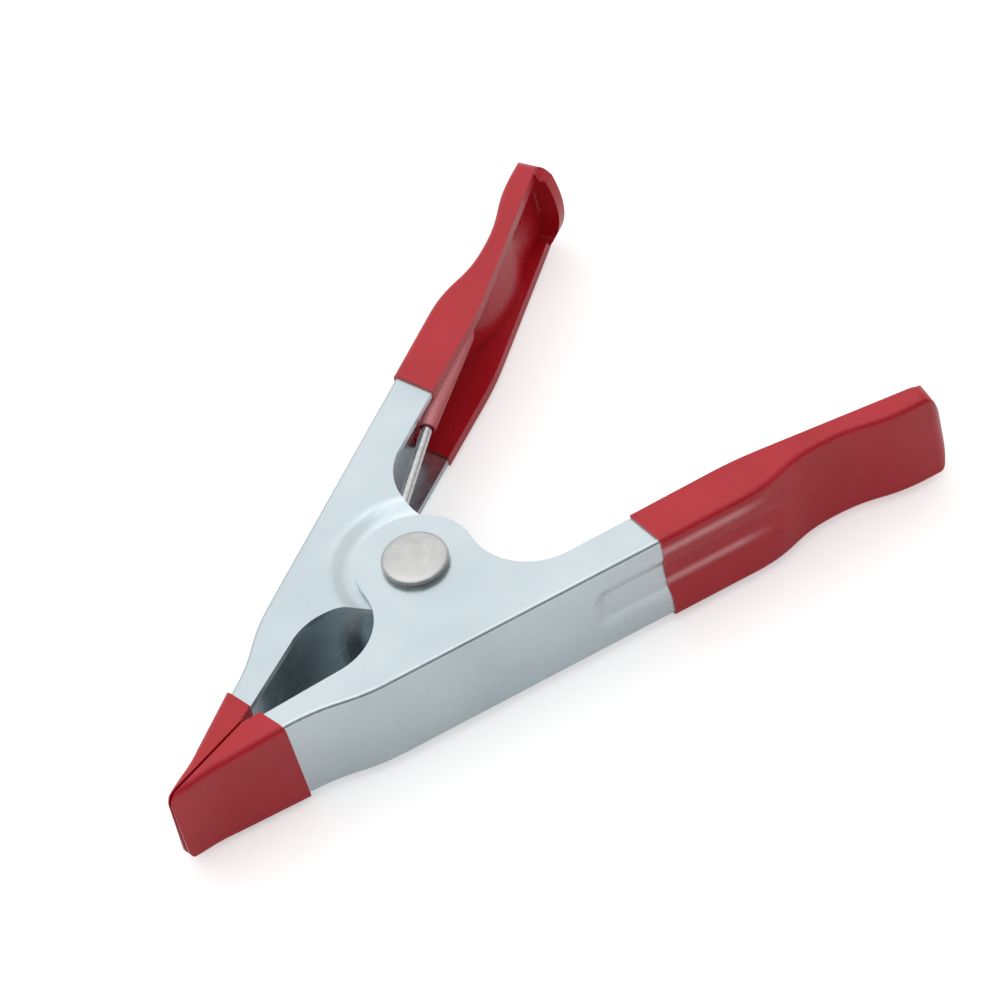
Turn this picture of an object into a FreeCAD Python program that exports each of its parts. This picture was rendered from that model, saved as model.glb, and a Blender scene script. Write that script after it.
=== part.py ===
import FreeCAD, Part
import math
import os

from FreeCAD import Vector

# Spring clamp of two pressed steel levers, lying on its side with its jaws closed.
# +X runs from the pivot towards the handles, along the line that halves the angle between the levers.
# +Y runs towards the inner lever and +Z along the pivot. The origin is on the pivot axis, on the outer
# face of the lower rivet head. Sizes are in millimetres and angles in degrees.

# Each lever is drawn in its own flat frame: u runs along its web towards the handle, and v from the
# pivot axis out to the web.

# Pressed channel
sheet = 0.8
channel_width = 12.7
bend_radius = 0.5
web_height = 13.95
half_angle = 18.7

# Ears
lobe_radius = 7.1
ear_edge_height = 8.95
flare_radius = 8.0
ear_gap = 0.15
joggle_radius = 7.3
joggle_run = 3.6

# Jaw end
jaw_web_height = 12.55
jaw_step_start = 10.5
jaw_step_run = 12.5
jaw_edge_rise = 0.5
jaw_edge_run = 9.5
jaw_reach = 33.0
jaw_tail = 50.0
nose_flare_start = 32.0
nose_flare_run = 7.5
nose_web_height = 13.1
mouth_start = 16.5
mouth_gap = 0.3

# Handle end
dip_start = 35.0
dip_middle = 46.5
dip_web_height = 12.05
flare_web_height = 13.55
flare_flat = 1.5
handle_reach = 61.1
end_inner_radius = 0.6
end_lean = 16.0
end_bulge_radius = 18.0
end_side_inner_radius = 0.7
end_tab_height = 9.3
end_tab_radius = 11.0
grip_edge_start = 37.0
grip_edge_ease = 3.0
grip_edge_dip = 0.25
grip_end_depth = 1.95

# Pressed bead in the handle's web
bead_start = 14.7
bead_end = 43.0
bead_width = 7.0
bead_depth = 0.5
bead_slope = 1.6
bead_corner_radius = 2.6
bead_fillet = 1.5

# Vinyl coats
handle_coat = 0.35
edge_coat_share = 0.3
outer_sleeve_start = 24.4
inner_sleeve_start = 25.1
sleeve_hem_lean = 11.0
tip_coat = 0.5
tip_start = 26.3
tip_hem_lean = 4.0
nose_reach = 41.2
nose_lean = 6.0
nose_corner_radius = 2.0

# Rivet
shank_radius = 2.5
shank_clearance = 0.05
head_radius = 3.95
head_thickness = 1.2
head_crown = 0.3
head_rim_radius = 0.45

# Torsion spring
wire_diameter = 1.3
coil_radius = 4.65
whole_turns = 3
coil_side_gap = 0.3
leg_reach = 35.0
leg_clearance = 1.0
leg_lead = 3.0
blend_angle = 40.0

# Hood of the coat over the spring's leg
hood_start = 20.8
hood_clearance = 0.1
hood_wall = 0.25
hood_end_radius = 2.0

# Values worked out from the sizes above
half_width = channel_width / 2
wire_radius = wire_diameter / 2
mid_height = half_width + head_thickness
end_corner_radius = end_inner_radius + sheet
end_side_radius = end_side_inner_radius + sheet
flare_start = handle_reach - end_corner_radius - flare_flat
grip_end_height = flare_web_height - grip_end_depth
far = 200.0
up = Vector(0, 0, 1)
pivot = Vector(0, 0, 0)


def at(u, v, z=0.0):
    return Vector(u, v, z)


def line(start, end):
    return Part.LineSegment(start, end).toShape()


def polyline(points):
    return [line(a, b) for a, b in zip(points, points[1:])]


def s_curve(start, end):
    """Smooth step between two heights that leaves and arrives along u."""
    middle = (start.x + end.x) / 2
    curve = Part.BezierCurve()
    curve.setPoles([start, at(middle, start.y), at(middle, end.y), end])
    return curve.toShape()


def eased_corner(start, corner, end, ease):
    """Two lines with a soft bend of the given reach between them."""
    before = corner + (start - corner).normalize() * ease
    after = corner + (end - corner).normalize() * ease
    bend = Part.BezierCurve()
    bend.setPoles([before, corner, after])
    return [line(start, before), bend.toShape(), line(after, end)]


def arc(centre, radius, start_angle, end_angle):
    """Arc through three points, from one angle to the other about its centre."""
    points = []
    for angle in (start_angle, (start_angle + end_angle) / 2, end_angle):
        turn = math.radians(angle)
        points.append(centre + Vector(math.cos(turn), math.sin(turn), 0) * radius)
    return Part.Arc(*points).toShape()


def ends(edge):
    """Start and end of an edge, in the direction that it was drawn."""
    return edge.valueAt(edge.FirstParameter), edge.valueAt(edge.LastParameter)


def box(low, high):
    size = high - low
    return Part.makeBox(size.x, size.y, size.z, low)


def before_u(end):
    """Everything nearer to the jaw than end."""
    return box(at(-far, -far, -far), at(end, far, far))


def web_line(shift):
    """Web's line from the jaw to the flared end of the handle, moved out by shift."""
    nose = nose_web_height + shift
    jaw = jaw_web_height + shift
    web = web_height + shift
    dip = dip_web_height + shift
    flare = flare_web_height + shift
    nose_end = -nose_flare_start - nose_flare_run
    step_end = -jaw_step_start - jaw_step_run
    return [
        line(at(-jaw_tail, nose), at(nose_end, nose)),
        s_curve(at(nose_end, nose), at(-nose_flare_start, jaw)),
        line(at(-nose_flare_start, jaw), at(step_end, jaw)),
        s_curve(at(step_end, jaw), at(-jaw_step_start, web)),
        line(at(-jaw_step_start, web), at(dip_start, web)),
        s_curve(at(dip_start, web), at(dip_middle, dip)),
        s_curve(at(dip_middle, dip), at(flare_start, flare)),
    ]


def end_corner():
    """Middle of the round corner between the web and the handle's end."""
    return at(handle_reach - end_corner_radius, flare_web_height - end_corner_radius)


def end_face(height, offset):
    """Point of the handle's leaning end at one height, moved out by offset."""
    lean = math.radians(end_lean)
    corner_reach = Vector(math.cos(lean), -math.sin(lean), 0) * (end_corner_radius + offset)
    top = end_corner() + corner_reach
    return at(top.x + (height - top.y) * math.tan(lean), height)


def handle_corner_line(grow):
    """Flared web and the round corner past it, down to the handle's end."""
    corner = end_corner()
    flare = flare_web_height + grow
    return [
        line(at(flare_start, flare), at(corner.x, flare)),
        arc(corner, end_corner_radius + grow, 90, -end_lean),
    ]


def free_edge_line(grow):
    """Free edge of an ear, from the handle's end round the pivot lobe to the jaw.

    A dipped coat draws back from a cut edge, so it is thinner there than on the faces.
    """
    lip = grow * edge_coat_share
    edge = ear_edge_height - lip
    rise = flare_radius - ear_edge_height
    flare_u = math.sqrt((lobe_radius + flare_radius) ** 2 - rise ** 2)
    flare_v = ear_edge_height - flare_radius
    lobe_angle = math.degrees(math.atan2(flare_v, flare_u))
    inside = flare_radius - lip
    jaw_slope = jaw_edge_rise / jaw_edge_run
    tail_edge = edge + jaw_slope * (jaw_tail - flare_u)
    grip_end = end_face(grip_end_height - lip, grow)
    grip_low = at(grip_edge_start, edge - grip_edge_dip)
    return eased_corner(grip_end, grip_low, at(flare_u, edge), grip_edge_ease) + [
        arc(at(flare_u, flare_v), inside, 90, 180 + lobe_angle),
        arc(pivot, lobe_radius + lip, lobe_angle, -180 - lobe_angle),
        arc(at(-flare_u, flare_v), inside, -lobe_angle, 90),
        line(at(-flare_u, edge), at(-jaw_tail, tail_edge)),
    ]


def outline(grow):
    """Closed side outline of a lever, grown by the thickness of a coat."""
    top_edges = web_line(grow) + handle_corner_line(grow)
    low_edges = free_edge_line(grow)
    end_line = line(ends(top_edges[-1])[1], ends(low_edges[0])[0])
    tail_line = line(ends(low_edges[-1])[1], ends(top_edges[0])[0])
    return Part.Face(Part.Wire(top_edges + [end_line] + low_edges + [tail_line]))


def prism(face, low, high):
    solid = face.extrude(up * (high - low))
    solid.translate(up * low)
    return solid


def end_tab(grow):
    """Lower part of the end wall, which reaches past the ears in an arc."""
    lip = grow * edge_coat_share
    low = end_tab_height - lip
    top = grip_end_height
    deep = -2 * sheet - grow
    side = half_width + grow
    corners = [end_face(top, grow), end_face(low, grow), end_face(low, deep), end_face(top, deep)]
    slab = prism(Part.Face(Part.Wire(polyline(corners + corners[:1]))), -side, side)
    centre = at(0, end_tab_height + end_tab_radius)
    return slab.common(Part.makeCylinder(end_tab_radius + lip, far, centre, Vector(1, 0, 0)))


def past_end(offset):
    """Everything outside the handle's bulged end and its rounded sides, moved out by offset."""
    side = half_width + offset
    centre = at(handle_reach - end_bulge_radius, -far)
    bulge = Part.makeCylinder(end_bulge_radius + offset, 2 * far, centre, Vector(0, 1, 0))
    plan = box(at(centre.x, -far, -side), at(far, far, side)).common(bulge)
    upright = [e for e in plan.Edges if e.BoundBox.YLength > far and e.CenterOfMass.x > centre.x + 1]
    rounded = plan.makeFillet(end_side_radius + offset, upright)
    return box(at(centre.x, -far, -far), at(far, far, far)).cut(rounded)


def rounded_slot(start, end, width, height, radius):
    """Rounded rectangle that lies in the web's plane at a given height."""
    half = width / 2
    low, high = start + radius, end - radius
    reach = half - radius
    corners = [(high, reach, 0), (low, reach, 90), (low, -reach, 180), (high, -reach, 270)]
    arcs = [arc(at(u, w), radius, turn, turn + 90) for u, w, turn in corners]
    edges = []
    for current, following in zip(arcs, arcs[1:] + arcs[:1]):
        edges += [current, line(ends(current)[1], ends(following)[0])]
    wire = Part.Wire(edges)
    wire.rotate(pivot, Vector(1, 0, 0), 90)
    wire.translate(at(0, height))
    return wire


def slot_at(inset, height):
    """Bead's outline at one height, drawn in by inset."""
    return rounded_slot(
        bead_start + inset, bead_end - inset, bead_width - 2 * inset, height, bead_corner_radius - inset
    )


def bead_recess(grow):
    """What the bead takes out of the web's outer face."""
    face_height = web_height + grow
    top = slot_at(-bead_slope, face_height + bead_depth)
    bottom = slot_at(bead_slope, face_height - bead_depth)
    pan = Part.makeLoft([top, bottom], True, True)
    floor_edges = [e for e in pan.Edges if abs(e.BoundBox.YMax - face_height + bead_depth) < 1e-4]
    return pan.makeFillet(bead_fillet, floor_edges)


def bead_bump(shrink):
    """What the bead pushes into the space between the ears."""
    face_height = web_height - sheet - shrink
    half_slope = math.atan(bead_depth / bead_slope) / 2
    wider = (sheet + shrink) * math.tan(half_slope)
    top = slot_at(-bead_slope - wider, face_height + bead_depth)
    bottom = slot_at(bead_slope - wider, face_height - bead_depth)
    return Part.makeLoft([top, bottom], True, True)


def round_edges(solid, guide, radius):
    """Round the edges of a solid that lie on the guide edges."""
    chosen = []
    for edge in solid.Edges:
        middle = edge.valueAt((edge.FirstParameter + edge.LastParameter) / 2)
        spot = Part.Vertex(middle)
        if any(spot.distToShape(g)[0] < 1e-4 for g in guide):
            chosen.append(edge)
    return solid.makeFillet(radius, chosen)


def lever_block(grow):
    """Outside shape of a lever as one block, grown by the thickness of a coat."""
    side = half_width + grow
    block = prism(outline(grow), -side, side)
    guide = []
    for edge in web_line(grow) + handle_corner_line(grow):
        for z in (-side, side):
            guide.append(edge.translated(up * z))
    block = round_edges(block, guide, bend_radius + grow)
    return block.fuse(end_tab(grow)).cut(past_end(grow)).cut(bead_recess(grow))


def hollow(shrink):
    """Space between the ears, less a coat of thickness shrink on every wall."""
    depth = sheet + shrink
    edges = web_line(-depth) + handle_corner_line(-depth)
    start = ends(edges[0])[0]
    corner_end = ends(edges[-1])[1]
    edges += polyline([corner_end, end_face(-far, -depth), at(start.x, -far), start])
    side = half_width - depth
    space = prism(Part.Face(Part.Wire(edges)), -side, side)
    return space.cut(past_end(-depth)).cut(bead_bump(shrink))


def past_hem(start, height, lean):
    """Everything on the handle's side of a hem that meets the web at start and leans back below it."""
    block = box(at(0, -far, -far), at(far, far, far))
    block.rotate(pivot, up, -lean)
    block.translate(at(start, height))
    return block


def mouth_side(offset):
    """Everything on the far side of the mouth's middle plane, and a strip of this side."""
    block = box(at(-far, -far, -far), at(-mouth_start, offset, far))
    block.rotate(pivot, up, -half_angle)
    return block


def before_tip_hem(side):
    """Everything on the jaw's side of the tips' hem, which was dipped with both jaws shut."""
    block = box(at(-far, -far, -far), at(-tip_start, far, far))
    block.rotate(at(-tip_start, 0), Vector(0, 1, 0), -side * tip_hem_lean)
    block.rotate(pivot, up, -half_angle)
    return block


def nose_plan(side):
    """Everything behind the blunt nose, which leans like the hem and has two rounded upright corners."""
    reach = half_width + tip_coat
    slant = reach * math.tan(math.radians(nose_lean))
    low = at(-nose_reach + side * slant, 0, -reach)
    high = at(-nose_reach - side * slant, 0, reach)
    plan = Part.Face(Part.Wire(polyline([low, high, at(0, 0, reach), at(0, 0, -reach), low])))
    plan.translate(at(0, -far))
    block = plan.extrude(at(0, 2 * far))
    upright = [e for e in block.Edges if e.BoundBox.YLength > far and e.CenterOfMass.x < -1]
    block = block.makeFillet(nose_corner_radius, upright)
    block.rotate(pivot, up, -half_angle)
    return block


def rivet_hole():
    return Part.makeCylinder(shank_radius + shank_clearance, far, at(0, 0, -far / 2), up)


def channel():
    """Pressed channel of one lever, before its ears are joggled or drilled."""
    shell = lever_block(0).cut(hollow(0))
    shell = shell.cut(before_u(-jaw_reach))
    return shell.cut(mouth_side(mouth_gap / 2 + tip_coat))


def joggle_dish():
    """Sheet that steps in round the pivot to pass inside the other lever's ear."""
    low = half_width - 2 * sheet - ear_gap
    ramp_end = joggle_radius + joggle_run
    inner_ramp = s_curve(at(joggle_radius, low), at(ramp_end, half_width - sheet))
    outer_ramp = s_curve(at(ramp_end, half_width), at(joggle_radius, low + sheet))
    edges = [line(at(0, low), at(joggle_radius, low)), inner_ramp]
    edges += [line(at(ramp_end, half_width - sheet), at(ramp_end, half_width)), outer_ramp]
    edges += polyline([at(joggle_radius, low + sheet), at(0, low + sheet), at(0, low)])
    section = Part.Face(Part.Wire(edges))
    section.rotate(pivot, Vector(1, 0, 0), 90)
    return section.revolve(pivot, up, 360)


def joggled_channel():
    """Channel whose ears step in round the pivot."""
    room = Part.makeCylinder(joggle_radius + joggle_run, far, at(0, 0, -far / 2), up)
    dish = joggle_dish()
    other_dish = dish.mirror(pivot, up)
    shape = prism(outline(0), -half_width, half_width)
    ears = [shape.common(dish), shape.common(other_dish)]
    return channel().cut(room).fuse(ears).removeSplitter()


def leg_line():
    """Tangent point on the coil, and tip, of a spring leg in its lever's frame."""
    tip_v = web_height - sheet - bead_depth - leg_clearance - wire_radius
    reach = math.hypot(leg_reach, tip_v)
    heading = math.atan2(tip_v, leg_reach) - math.asin(coil_radius / reach)
    tangent = Vector(-math.sin(heading), math.cos(heading), 0) * coil_radius
    side = up * coil_half_length()
    return tangent + side, at(leg_reach, tip_v) + side


def coil_half_length():
    """From the coil's middle to the middle of its last turn's wire."""
    return half_width - 2 * sheet - ear_gap - coil_side_gap - wire_radius


def rod_along(start, end, start_radius, end_radius):
    """Round rod between two points, with a round nose at its end."""
    run = end - start
    nose = Part.makeSphere(end_radius, end)
    if start_radius == end_radius:
        return Part.makeCylinder(start_radius, run.Length, start, run).fuse(nose)
    return Part.makeCone(start_radius, end_radius, run.Length, start, run).fuse(nose)


def handle_sleeve(start):
    """Dipped grip: a coat on both faces of the channel, and a hood over the spring's leg."""
    coat = lever_block(handle_coat).cut(hollow(handle_coat))
    coat = coat.common(past_hem(start, web_height + handle_coat, sleeve_hem_lean))
    tangent, tip = leg_line()
    run = tip - tangent
    space_radius = wire_radius + hood_clearance
    mouth = tangent + run * ((hood_start - tangent.x) / run.x)
    past_tip = tip + run * (hood_clearance / run.Length)
    hood = rod_along(mouth, tip, space_radius + hood_wall, hood_end_radius).common(hollow(0))
    space = rod_along(tangent, past_tip, space_radius, space_radius)
    return coat.fuse(hood).cut(lever_block(0).cut(hollow(0))).cut(space)


def jaw_tip(side):
    """Dipped cap: a coat on both faces of the jaw that closes to a wedge in front of it."""
    coat = lever_block(tip_coat).cut(hollow(tip_coat)).common(before_tip_hem(side))
    return coat.cut(mouth_side(mouth_gap / 2)).common(nose_plan(side)).cut(channel())


def rivet():
    """Rivet with a crowned head above and a flat one below, which the clamp lies on."""
    rim = head_thickness - head_rim_radius
    top = half_width + head_thickness
    inner = head_radius - head_rim_radius
    turn = head_rim_radius * math.sqrt(0.5)
    crown = Part.Arc(
        Vector(0, 0, top),
        Vector(inner / 2, 0, top - head_crown / 4),
        Vector(inner, 0, top - head_crown),
    )
    upper_rim = Part.Arc(
        Vector(inner, 0, top - head_crown),
        Vector(inner + turn, 0, top - head_crown - head_rim_radius + turn),
        Vector(head_radius, 0, top - head_crown - head_rim_radius),
    )
    lower_rim = Part.Arc(
        Vector(head_radius, 0, -half_width - rim),
        Vector(inner + turn, 0, -half_width - rim - turn),
        Vector(inner, 0, -top),
    )
    edges = [crown.toShape(), upper_rim.toShape()]
    edges += polyline([
        Vector(head_radius, 0, top - head_crown - head_rim_radius),
        Vector(head_radius, 0, half_width),
        Vector(shank_radius, 0, half_width),
        Vector(shank_radius, 0, -half_width),
        Vector(head_radius, 0, -half_width),
        Vector(head_radius, 0, -half_width - rim),
    ])
    edges.append(lower_rim.toShape())
    edges += polyline([Vector(inner, 0, -top), Vector(0, 0, -top), Vector(0, 0, top)])
    return Part.Face(Part.Wire(edges)).revolve(pivot, up, 360)


def arc_from(start, heading, end):
    """Arc that leaves start along heading and ends at end."""
    chord = end - start
    across = heading - chord * (heading.dot(chord) / chord.dot(chord))
    if across.Length < 1e-9:
        return line(start, end)
    lean = heading.getAngle(chord)
    middle = start + chord * 0.5 + across.normalize() * (chord.Length / 2 * math.tan(lean / 2))
    return Part.Arc(start, middle, end).toShape()


def biarc(start, heading, end, end_heading):
    """Two arcs that join two points and keep the heading at each."""
    chord = end - start
    both = heading + end_heading
    a = 2 * (1 - heading.dot(end_heading))
    b = 2 * chord.dot(both)
    reach = chord.dot(chord) / b
    if a > 1e-9:
        reach = (math.sqrt(b * b + 4 * a * chord.dot(chord)) - b) / (2 * a)
    joint = (start + end + (heading - end_heading) * reach) * 0.5
    first = arc_from(start, heading, joint)
    second = arc_from(end, end_heading * -1, joint)
    return [first, second]


def in_inner_lever(point):
    """Point of the inner lever's frame, turned into the clamp's frame."""
    turned = FreeCAD.Rotation(up, half_angle)
    return turned.multVec(point)


def opposite(point):
    """Point half a turn about X away, as the outer lever's leg is from the inner one's."""
    return Vector(point.x, -point.y, -point.z)


def spring_path():
    """Edges of the wire's middle line, from the outer lever's leg tip to the inner one's."""
    tangent, tip = (in_inner_lever(p) for p in leg_line())
    leg_heading = (tip - tangent).normalize()
    leg_start = tangent + leg_heading * leg_lead
    end_angle = math.atan2(tangent.y, tangent.x)
    start_angle = 2 * math.pi - end_angle
    sweep = start_angle - end_angle + 2 * math.pi * whole_turns
    climb = 2 * coil_half_length() / sweep
    blend = math.radians(blend_angle)
    steps = round((sweep - 2 * blend) / (math.pi / 2))
    stations = []
    for i in range(steps + 1):
        wound = blend + (sweep - 2 * blend) * i / steps
        angle = start_angle - wound
        height = -coil_half_length() + climb * wound
        point = Vector(coil_radius * math.cos(angle), coil_radius * math.sin(angle), height)
        heading = Vector(coil_radius * math.sin(angle), -coil_radius * math.cos(angle), climb).normalize()
        stations.append((point, heading))
    stations.insert(0, (opposite(leg_start), opposite(leg_heading) * -1))
    stations.append((leg_start, leg_heading))
    edges = [line(opposite(tip), opposite(leg_start))]
    for (start, heading), (end, end_heading) in zip(stations, stations[1:]):
        edges += biarc(start, heading, end, end_heading)
    edges.append(line(leg_start, tip))
    return edges


def least_gap(path, diameter):
    """Least gap of a wound wire to itself, measured on points along its middle line."""
    spacing = diameter / 4
    points = path.discretize(Distance=spacing)
    skip = round(1.5 * math.pi * diameter / spacing)
    nearest = min(
        a.distanceToPoint(b) for i, a in enumerate(points) for b in points[i + skip:]
    )
    return nearest - diameter


def spring():
    """Spring as one unbroken round wire."""
    edges = spring_path()
    path = Part.Wire(edges)
    start, following = ends(edges[0])
    section = Part.Wire(Part.makeCircle(wire_radius, start, following - start))
    wire = path.makePipeShell([section], True, False)
    solid = Part.Solid(wire) if wire.ShapeType == "Shell" else wire
    expected = math.pi * wire_radius ** 2 * path.Length
    print("spring: wire length %.1f, volume %.2f of %.2f expected" % (path.Length, solid.Volume, expected))
    print("spring: least gap between turns %.2f" % least_gap(path, wire_diameter))
    return solid


def place_inner(shape):
    """Turn a shape from its lever's frame to the inner lever's place."""
    placed = shape.copy()
    placed.rotate(pivot, up, half_angle)
    placed.translate(up * mid_height)
    return placed


def place_outer(shape):
    """Turn a shape from its lever's frame to the outer lever's place, half a turn about X away."""
    placed = shape.copy()
    placed.rotate(pivot, up, half_angle)
    placed.rotate(pivot, Vector(1, 0, 0), 180)
    placed.translate(up * mid_height)
    return placed


def lift(shape):
    lifted = shape.copy()
    lifted.translate(up * mid_height)
    return lifted


def write(name, shape):
    solids = shape.Solids
    whole = solids[0] if len(solids) == 1 else shape
    print("%s: %d solid, valid %s, %.1f mm3" % (name, len(solids), whole.isValid(), whole.Volume))
    whole.exportStep("parts/" + name + ".step")


def main():
    os.makedirs("parts", exist_ok=True)
    hole = rivet_hole()
    write("outer_lever", place_outer(channel().cut(hole)))
    write("inner_lever", place_inner(joggled_channel().cut(hole)))
    write("outer_handle_sleeve", place_outer(handle_sleeve(outer_sleeve_start)))
    write("inner_handle_sleeve", place_inner(handle_sleeve(inner_sleeve_start)))
    write("outer_jaw_tip", place_outer(jaw_tip(-1)))
    write("inner_jaw_tip", place_inner(jaw_tip(1)))
    write("pivot_rivet", lift(rivet()))
    write("torsion_spring", lift(spring()))


main()
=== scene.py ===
import math

import bmesh
import bpy
from mathutils import Euler, Matrix, Vector


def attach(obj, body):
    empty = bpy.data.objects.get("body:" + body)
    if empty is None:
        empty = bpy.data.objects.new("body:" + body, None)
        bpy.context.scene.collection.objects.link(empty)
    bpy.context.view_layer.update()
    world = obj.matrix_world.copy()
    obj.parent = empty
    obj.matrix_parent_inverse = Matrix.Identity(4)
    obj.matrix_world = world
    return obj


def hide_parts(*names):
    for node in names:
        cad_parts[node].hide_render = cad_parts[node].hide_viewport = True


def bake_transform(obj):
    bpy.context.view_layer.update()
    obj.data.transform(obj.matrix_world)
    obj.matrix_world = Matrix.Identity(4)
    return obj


# Spring clamp with red dipped grips, lying on its side on a white table.
# Sizes are in millimetres in the values below and in metres in Blender. The levers' pivot stands on the
# origin along +Z, and +X runs towards the handles.

MM = 0.001

# Height of the levers' middle plane above the table, and half the angle between the levers in degrees
mid_height = 7.55
half_angle = 18.7

# Rounding of the cut edges of the sheet and of the vinyl
sheet_rounding = 0.12
vinyl_rounding = 0.25
rounded_from_angle = 40.0

# Points closer than this are one point, and faces that meet at less than this angle are one face
same_point = 0.002
same_plane_angle = 0.5

# Faces of this area and more are shaded flat, edges sharper than this angle stay sharp, and round pieces
# have this many sides
flat_face_area = 15.0
sharp_from_angle = 35.0
turned_sides = 96

# Jaws, which both roll a little about X in the photo
roll_angle = 5.0
roll_start = 28.0
roll_full = 40.0

# Raised rim round the pressed bead in the vinyl, with a painted pale pink highlight along its crest, in its
# lever's frame: u along the web, w across it
bead_middle_u = 28.0
bead_half_length = 13.3
bead_half_width = 2.75
bead_rise = 2.0
bead_corner_radius = 2.4
bead_rim_width = 1.1
bead_rim_height = 0.12
bead_fade_start = 34.0
bead_fade_end = 39.0

# Rivet
head_radius = 3.95
head_thickness = 1.2
shank_radius = 2.5
ear_height = 6.35

# Torsion spring
wire_radius = 0.65
coil_radius = 4.65
coil_half_length = 3.65
whole_turns = 3
leg_heading = 28.87
leg_length = 36.39
steps_a_turn = 32
sides_of_wire = 20

# Camera at the photo's angle
camera_place = (-401.95, -548.01, 786.73)
camera_turn = (40.7985, 8.8589, -47.2989)
camera_lens = 325.61
camera_sensor = 36.0

# Light: the way to the brightest part of the sky, the sky's least and greatest strength, and a lamp whose
# place and size are in metres
brightest_sky = (0.3, 0.45, 0.85)
darkest_strength = 0.15
brightest_strength = 0.95
lamp_place = (-0.2, 0.1, 0.9)
lamp_size = 1.1
lamp_power = 1.5

# Table, which lies a hair below the clamp
table_radius = 600.0
table_drop = 0.02
table_glow_seen = 0.5
table_glow_mirrored = 0.1


def metres(*point):
    """Point for Blender from its three sizes in millimetres."""
    return Vector(point) * MM


def shader_node(tree, kind, **settings):
    """New node of a kind, with its settings."""
    made = tree.nodes.new("ShaderNode" + kind)
    for name, value in settings.items():
        setattr(made, name, value)
    return made


def new_material(name):
    """Material with its node tree and its principled shader."""
    material = bpy.data.materials.new(name)
    material.use_nodes = True
    tree = material.node_tree
    return material, tree, tree.nodes["Principled BSDF"]


def noise_pattern(tree, scale, detail=3.0, stretch=(1, 1, 1), rough=0.5):
    """Noise on the piece's own coordinates, in features per metre, drawn out where stretch is small."""
    place = shader_node(tree, "TexCoord")
    mapping = shader_node(tree, "Mapping")
    mapping.inputs["Scale"].default_value = stretch
    pattern = shader_node(tree, "TexNoise")
    pattern.inputs["Scale"].default_value = scale
    pattern.inputs["Detail"].default_value = detail
    pattern.inputs["Roughness"].default_value = rough
    tree.links.new(place.outputs["Object"], mapping.inputs["Vector"])
    tree.links.new(mapping.outputs["Vector"], pattern.inputs["Vector"])
    return pattern.outputs["Fac"]


def spread(tree, source, low, high, out_low, out_high, ease="LINEAR"):
    """Stretch a pattern's values onto a new range, evenly or with soft ends."""
    ranged = shader_node(tree, "MapRange", interpolation_type=ease)
    for name, value in (("From Min", low), ("From Max", high), ("To Min", out_low), ("To Max", out_high)):
        ranged.inputs[name].default_value = value
    tree.links.new(source, ranged.inputs["Value"])
    return ranged.outputs["Result"]


def two_colours(tree, source, first, second, low=0.35, high=0.65):
    """Colour that goes from the first to the second as a pattern rises."""
    ramp = shader_node(tree, "ValToRGB")
    ramp.color_ramp.elements[0].position = low
    ramp.color_ramp.elements[0].color = (*first, 1)
    ramp.color_ramp.elements[1].position = high
    ramp.color_ramp.elements[1].color = (*second, 1)
    tree.links.new(source, ramp.inputs["Fac"])
    return ramp.outputs["Color"]


def bump(tree, height, depth, below=None):
    """Bump of a real depth in millimetres, on top of another bump."""
    made = shader_node(tree, "Bump")
    made.inputs["Distance"].default_value = depth * MM
    made.inputs["Strength"].default_value = 1.0
    tree.links.new(height, made.inputs["Height"])
    if below:
        tree.links.new(below, made.inputs["Normal"])
    return made.outputs["Normal"]


def combined(tree, operation, first, second):
    """Sum, product or other blend of two values, where each is an output or a number."""
    made = shader_node(tree, "Math", operation=operation)
    for socket, value in zip(made.inputs, (first, second)):
        if isinstance(value, (int, float)):
            socket.default_value = value
        else:
            tree.links.new(value, socket)
    return made.outputs[0]


def bead_rim(tree):
    """Soft raised rim round the pressed bead, 1 on its crest, that fades out where the grip swells."""
    place = shader_node(tree, "TexCoord")
    split = shader_node(tree, "SeparateXYZ")
    tree.links.new(place.outputs["Object"], split.inputs[0])
    turn = math.radians(half_angle)
    along = combined(tree, "MULTIPLY", split.outputs["X"], math.cos(turn))
    aside = combined(tree, "ABSOLUTE", split.outputs["Y"], 0.0)
    outward = combined(tree, "MULTIPLY", aside, math.sin(turn))
    u = combined(tree, "SUBTRACT", combined(tree, "ADD", along, outward), bead_middle_u * MM)
    w = combined(tree, "SUBTRACT", split.outputs["Z"], (mid_height + bead_rise) * MM)
    beyond = []
    for value, half in ((u, bead_half_length), (w, bead_half_width)):
        from_middle = combined(tree, "ABSOLUTE", value, 0.0)
        past = combined(tree, "SUBTRACT", from_middle, (half - bead_corner_radius) * MM)
        beyond.append(combined(tree, "MAXIMUM", past, 0.0))
    squares = [combined(tree, "MULTIPLY", value, value) for value in beyond]
    reach = combined(tree, "SQRT", combined(tree, "ADD", *squares), 0.0)
    offset = combined(tree, "ABSOLUTE", combined(tree, "SUBTRACT", reach, bead_corner_radius * MM), 0.0)
    rim = spread(tree, offset, 0.0, bead_rim_width * MM, 1.0, 0.0, ease="SMOOTHSTEP")
    fade_start = (bead_fade_start - bead_middle_u) * MM
    fade_end = (bead_fade_end - bead_middle_u) * MM
    kept = spread(tree, u, fade_start, fade_end, 1.0, 0.0)
    return combined(tree, "MULTIPLY", rim, kept)


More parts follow.
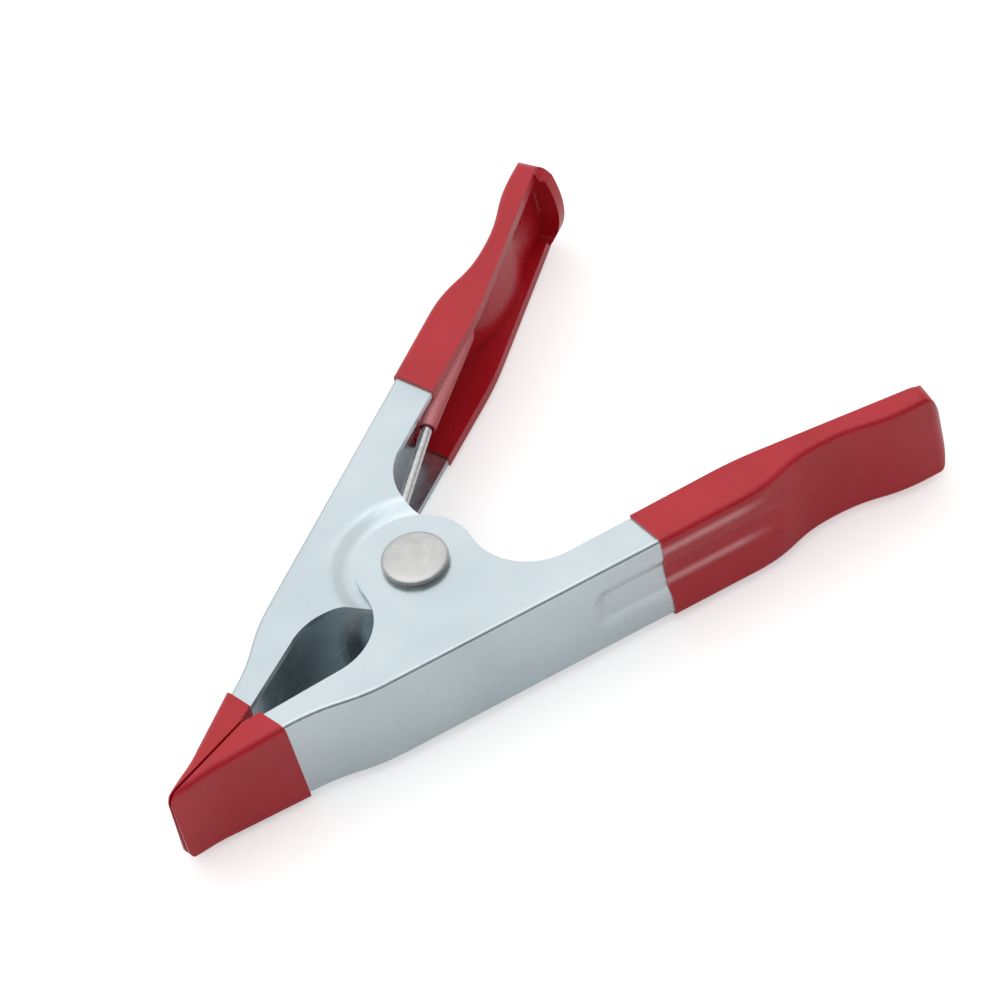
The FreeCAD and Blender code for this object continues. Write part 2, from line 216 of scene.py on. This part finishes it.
def zinc_plate():
    """Bright zinc on rolled sheet: faint clouds, rolling lines and a sheet that isn't quite flat."""
    material, tree, shader = new_material("zinc_plate")
    clouds = noise_pattern(tree, 70, detail=4)
    rolling = noise_pattern(tree, 1800, detail=2, stretch=(0.06, 1, 1))
    waves = noise_pattern(tree, 55, detail=1)
    shader.inputs["Metallic"].default_value = 1.0
    colour = two_colours(tree, clouds, (0.63, 0.72, 0.76), (0.70, 0.79, 0.825))
    tree.links.new(colour, shader.inputs["Base Color"])
    tree.links.new(spread(tree, rolling, 0.3, 0.7, 0.26, 0.36), shader.inputs["Roughness"])
    tree.links.new(bump(tree, waves, 0.04), shader.inputs["Normal"])
    return material


def rivet_steel():
    """Rivet that was struck: blotchy, matt and slightly pitted."""
    material, tree, shader = new_material("rivet_steel")
    blotches = noise_pattern(tree, 420, detail=5, rough=0.65)
    pits = noise_pattern(tree, 3600, detail=3)
    shader.inputs["Metallic"].default_value = 1.0
    colour = two_colours(tree, blotches, (0.60, 0.60, 0.59), (0.72, 0.72, 0.71))
    tree.links.new(colour, shader.inputs["Base Color"])
    tree.links.new(spread(tree, blotches, 0.3, 0.7, 0.34, 0.46), shader.inputs["Roughness"])
    surface = bump(tree, blotches, 0.03)
    tree.links.new(bump(tree, pits, 0.004, surface), shader.inputs["Normal"])
    return material


def spring_wire():
    """Bright drawn wire with fine marks."""
    material, tree, shader = new_material("spring_wire")
    drawn = noise_pattern(tree, 1800, detail=3)
    shader.inputs["Metallic"].default_value = 1.0
    colour = two_colours(tree, drawn, (0.62, 0.63, 0.64), (0.78, 0.78, 0.78))
    tree.links.new(colour, shader.inputs["Base Color"])
    tree.links.new(spread(tree, drawn, 0.3, 0.7, 0.16, 0.28), shader.inputs["Roughness"])
    tree.links.new(bump(tree, drawn, 0.003), shader.inputs["Normal"])
    return material


def red_vinyl():
    """Dipped vinyl: soft sheen, slight orange peel, and a painted pale pink highlight along the crest of
    the bead's rim.
    """
    material, tree, shader = new_material("red_vinyl")
    tint = noise_pattern(tree, 130, detail=3)
    peel = noise_pattern(tree, 650, detail=2)
    drape = noise_pattern(tree, 110, detail=0)
    grain = noise_pattern(tree, 4200, detail=2)
    rim = bead_rim(tree)
    red = two_colours(tree, tint, (0.56, 0.012, 0.024), (0.63, 0.016, 0.032))
    # Painted highlight: the base colour turns pale pink towards the crest of the bead's rim
    painted_highlight = shader_node(tree, "Mix", data_type="RGBA")
    factor, first_colour, second_colour = painted_highlight.inputs[0], painted_highlight.inputs[6], painted_highlight.inputs[7]
    tree.links.new(combined(tree, "POWER", rim, 1.5), factor)
    tree.links.new(red, first_colour)
    second_colour.default_value = (0.92, 0.33, 0.35, 1)
    tree.links.new(painted_highlight.outputs[2], shader.inputs["Base Color"])
    tree.links.new(spread(tree, tint, 0.3, 0.7, 0.24, 0.32), shader.inputs["Roughness"])
    shader.inputs["IOR"].default_value = 1.5
    surface = bump(tree, rim, bead_rim_height)
    surface = bump(tree, drape, 0.12, surface)
    surface = bump(tree, peel, 0.01, surface)
    tree.links.new(bump(tree, grain, 0.002, surface), shader.inputs["Normal"])
    return material


def piece_from(bm, name, material):
    """Object in the scene from a finished bmesh, shaded smooth apart from its sharp edges."""
    mesh = bpy.data.meshes.new(name)
    for face in bm.faces:
        face.smooth = face.calc_area() < flat_face_area * MM * MM
    bm.to_mesh(mesh)
    bm.free()
    mesh.set_sharp_from_angle(angle=math.radians(sharp_from_angle))
    mesh.materials.append(material)
    piece = bpy.data.objects.new(name, mesh)
    bpy.context.scene.collection.objects.link(piece)
    return piece


def copy_of(node):
    """Merged copy of a CAD node's mesh, with its flat faces made whole."""
    bm = bmesh.new()
    bm.from_mesh(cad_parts[node].data)
    bmesh.ops.remove_doubles(bm, verts=bm.verts, dist=same_point * MM)
    bmesh.ops.dissolve_limit(bm, angle_limit=math.radians(same_plane_angle), verts=bm.verts, edges=bm.edges)
    bmesh.ops.recalc_face_normals(bm, faces=bm.faces)
    return bm


def roll_jaw(bm):
    """Turn the jaw's end a little about X, more and more up to its tip."""
    axis = metres(0, 0, mid_height)
    for vert in bm.verts:
        way = (-vert.co.x / MM - roll_start) / (roll_full - roll_start)
        way = min(max(way, 0), 1)
        share = way * way * (3 - 2 * way)
        turn = Matrix.Rotation(math.radians(roll_angle) * share, 3, "X")
        vert.co = axis + turn @ (vert.co - axis)


def finished(node, name, radius, material):
    """Copy of a pressed or dipped piece whose sharp edges are slightly rounded."""
    bm = copy_of(node)
    roll_jaw(bm)
    piece = piece_from(bm, name, material)
    rounding = piece.modifiers.new("rounding", "BEVEL")
    rounding.width = radius * MM
    rounding.segments = 2
    rounding.limit_method = "ANGLE"
    rounding.angle_limit = math.radians(rounded_from_angle)
    evening = piece.modifiers.new("even_normals", "WEIGHTED_NORMAL")
    evening.keep_sharp = True
    return piece


def rivet(material):
    """Rivet turned from its half outline."""
    bm = bmesh.new()
    top = ear_height + head_thickness
    crown = [(0, top), (1.6, top - 0.02), (3.0, top - 0.09), (3.5, top - 0.15), (3.75, top - 0.25)]
    rim = [(3.9, top - 0.4), (head_radius, top - 0.58), (head_radius - 0.06, top - 0.72)]
    undercut = [(head_radius - 0.5, ear_height), (shank_radius, ear_height)]
    lower_ear = [(shank_radius, -ear_height), (head_radius - 0.12, -ear_height)]
    lower_rim = [(head_radius, -ear_height - 0.12), (head_radius, -top + 0.5), (3.8, -top + 0.15)]
    lower_face = [(3.5, -top), (0, -top)]
    outline = crown + rim + undercut + lower_ear + lower_rim + lower_face
    rings = [bm.verts.new(metres(r, 0, mid_height + z)) for r, z in outline]
    edges = [bm.edges.new(pair) for pair in zip(rings, rings[1:])]
    bmesh.ops.spin(
        bm, geom=rings + edges, cent=(0, 0, 0), axis=(0, 0, 1), angle=2 * math.pi, steps=turned_sides,
        use_merge=True,
    )
    bmesh.ops.remove_doubles(bm, verts=bm.verts, dist=same_point * MM)
    bmesh.ops.recalc_face_normals(bm, faces=bm.faces)
    return piece_from(bm, "pivot_rivet_struck", material)


def ring_of_wire(bm, centre, heading):
    """Circle of the wire, square to its heading."""
    turn = heading.to_track_quat("Z", "Y").to_matrix().to_4x4()
    placed = Matrix.Translation(centre) @ turn
    made = bmesh.ops.create_circle(bm, segments=sides_of_wire, radius=wire_radius * MM, matrix=placed)
    return made["verts"]


def coil(material):
    """Close-wound part of the spring round the rivet."""
    bm = bmesh.new()
    end_angle = math.radians(leg_heading + 90)
    sweep = 2 * math.pi - 2 * end_angle + 2 * math.pi * whole_turns
    steps = round(sweep / (2 * math.pi) * steps_a_turn)
    start = Vector((math.cos(-end_angle), math.sin(-end_angle), 0)) * coil_radius
    heading = Vector((math.sin(-end_angle), -math.cos(-end_angle), 0))
    ring = ring_of_wire(bm, metres(start.x, start.y, mid_height - coil_half_length), heading)
    edges = list({e for v in ring for e in v.link_edges})
    bmesh.ops.spin(
        bm, geom=ring + edges, cent=(0, 0, 0), axis=(0, 0, 1), angle=-sweep, steps=steps,
        dvec=metres(0, 0, 2 * coil_half_length / steps),
    )
    bmesh.ops.holes_fill(bm, edges=bm.edges)
    bmesh.ops.recalc_face_normals(bm, faces=bm.faces)
    return piece_from(bm, "spring_coil", material)


def leg(name, side, material):
    """Straight end of the spring, from the coil into its lever's handle."""
    bm = bmesh.new()
    angle = math.radians(leg_heading + 90)
    start = Vector((math.cos(angle), side * math.sin(angle), 0)) * coil_radius
    heading = Vector((math.sin(angle), -side * math.cos(angle), 0))
    ring = ring_of_wire(bm, metres(start.x, start.y, mid_height + side * coil_half_length), heading)
    edges = list({e for v in ring for e in v.link_edges})
    grown = bmesh.ops.extrude_edge_only(bm, edges=edges)["geom"]
    far_ring = [v for v in grown if isinstance(v, bmesh.types.BMVert)]
    bmesh.ops.translate(bm, verts=far_ring, vec=heading * leg_length * MM)
    bmesh.ops.holes_fill(bm, edges=bm.edges)
    bmesh.ops.recalc_face_normals(bm, faces=bm.faces)
    return piece_from(bm, name, material)


def floor():
    """White table that glows just enough to stay white and still shows the clamp's shadow."""
    bm = bmesh.new()
    bmesh.ops.create_circle(bm, cap_ends=True, segments=turned_sides, radius=table_radius * MM)
    bmesh.ops.translate(bm, verts=bm.verts, vec=metres(0, 0, -table_drop))
    material, tree, shader = new_material("white_table")
    shader.inputs["Base Color"].default_value = (0.86, 0.86, 0.86, 1)
    shader.inputs["Roughness"].default_value = 0.9
    shader.inputs["Specular IOR Level"].default_value = 0.1
    rays = shader_node(tree, "LightPath")
    seen = combined(tree, "MULTIPLY", rays.outputs["Is Camera Ray"], table_glow_seen)
    mirrored = combined(tree, "MULTIPLY", rays.outputs["Is Glossy Ray"], table_glow_mirrored)
    shader.inputs["Emission Color"].default_value = (1, 1, 1, 1)
    tree.links.new(combined(tree, "ADD", seen, mirrored), shader.inputs["Emission Strength"])
    table = piece_from(bm, "table", material)


def area_light(name, place, size, power):
    """Soft square lamp that faces the clamp."""
    lamp = bpy.data.lights.new(name, "AREA")
    lamp.size = size
    lamp.energy = power
    holder = bpy.data.objects.new(name, lamp)
    holder.location = place
    holder.rotation_euler = (-Vector(place)).to_track_quat("-Z", "Y").to_euler()
    bpy.context.scene.collection.objects.link(holder)


def studio():
    """Sky that dims away from its brightest part, seen as plain white, and a soft lamp overhead."""
    area_light("overhead", lamp_place, lamp_size, lamp_power)
    world = bpy.data.worlds.new("studio")
    world.use_nodes = True
    bpy.context.scene.world = world
    tree = world.node_tree
    light = tree.nodes["Background"]
    rays = shader_node(tree, "LightPath")
    place = shader_node(tree, "TexCoord")
    facing = shader_node(tree, "VectorMath", operation="DOT_PRODUCT")
    facing.inputs[1].default_value = Vector(brightest_sky).normalized()
    tree.links.new(place.outputs["Generated"], facing.inputs[0])
    sky = spread(tree, facing.outputs["Value"], 0.0, 0.9, darkest_strength, brightest_strength)
    strength = shader_node(tree, "Mix", data_type="FLOAT")
    tree.links.new(rays.outputs["Is Camera Ray"], strength.inputs["Factor"])
    tree.links.new(sky, strength.inputs["A"])
    strength.inputs["B"].default_value = 1.0
    tree.links.new(strength.outputs["Result"], light.inputs["Strength"])
    light.inputs["Color"].default_value = (1, 1, 1, 1)


def camera():
    """Camera at the photo's angle, far off with a long lens."""
    data = bpy.data.cameras.new("camera")
    data.lens = camera_lens
    data.sensor_width = camera_sensor
    data.clip_start = 0.05
    data.clip_end = 20
    holder = bpy.data.objects.new("camera", data)
    holder.location = metres(*camera_place)
    holder.rotation_euler = Euler([math.radians(a) for a in camera_turn])
    bpy.context.scene.collection.objects.link(holder)
    bpy.context.scene.camera = holder


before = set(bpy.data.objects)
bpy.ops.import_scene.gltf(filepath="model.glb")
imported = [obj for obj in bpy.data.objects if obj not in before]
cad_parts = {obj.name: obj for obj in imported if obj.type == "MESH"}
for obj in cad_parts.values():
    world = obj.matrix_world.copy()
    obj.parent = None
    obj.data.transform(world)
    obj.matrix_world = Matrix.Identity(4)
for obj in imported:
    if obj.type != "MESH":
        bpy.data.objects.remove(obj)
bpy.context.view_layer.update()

plate = zinc_plate()
vinyl = red_vinyl()
wire = spring_wire()

for side, body in (("outer", "outer_half"), ("inner", "inner_half")):
    sheet = finished(side + "_lever", side + "_lever_sheet", sheet_rounding, plate)
    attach(sheet, body)
    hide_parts(side + "_lever")
    for part in ("_handle_sleeve", "_jaw_tip"):
        coat = finished(side + part, side + part + "_vinyl", vinyl_rounding, vinyl)
        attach(coat, body)
        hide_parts(side + part)

pin = rivet(rivet_steel())
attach(pin, "outer_half")
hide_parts("pivot_rivet")

winding = coil(wire)
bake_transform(winding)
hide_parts("torsion_spring")
outer_leg = leg("spring_outer_leg", -1, wire)
inner_leg = leg("spring_inner_leg", 1, wire)
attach(outer_leg, "outer_half")
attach(inner_leg, "inner_half")

floor()
studio()
camera()
bpy.context.scene.view_settings.view_transform = "Standard"
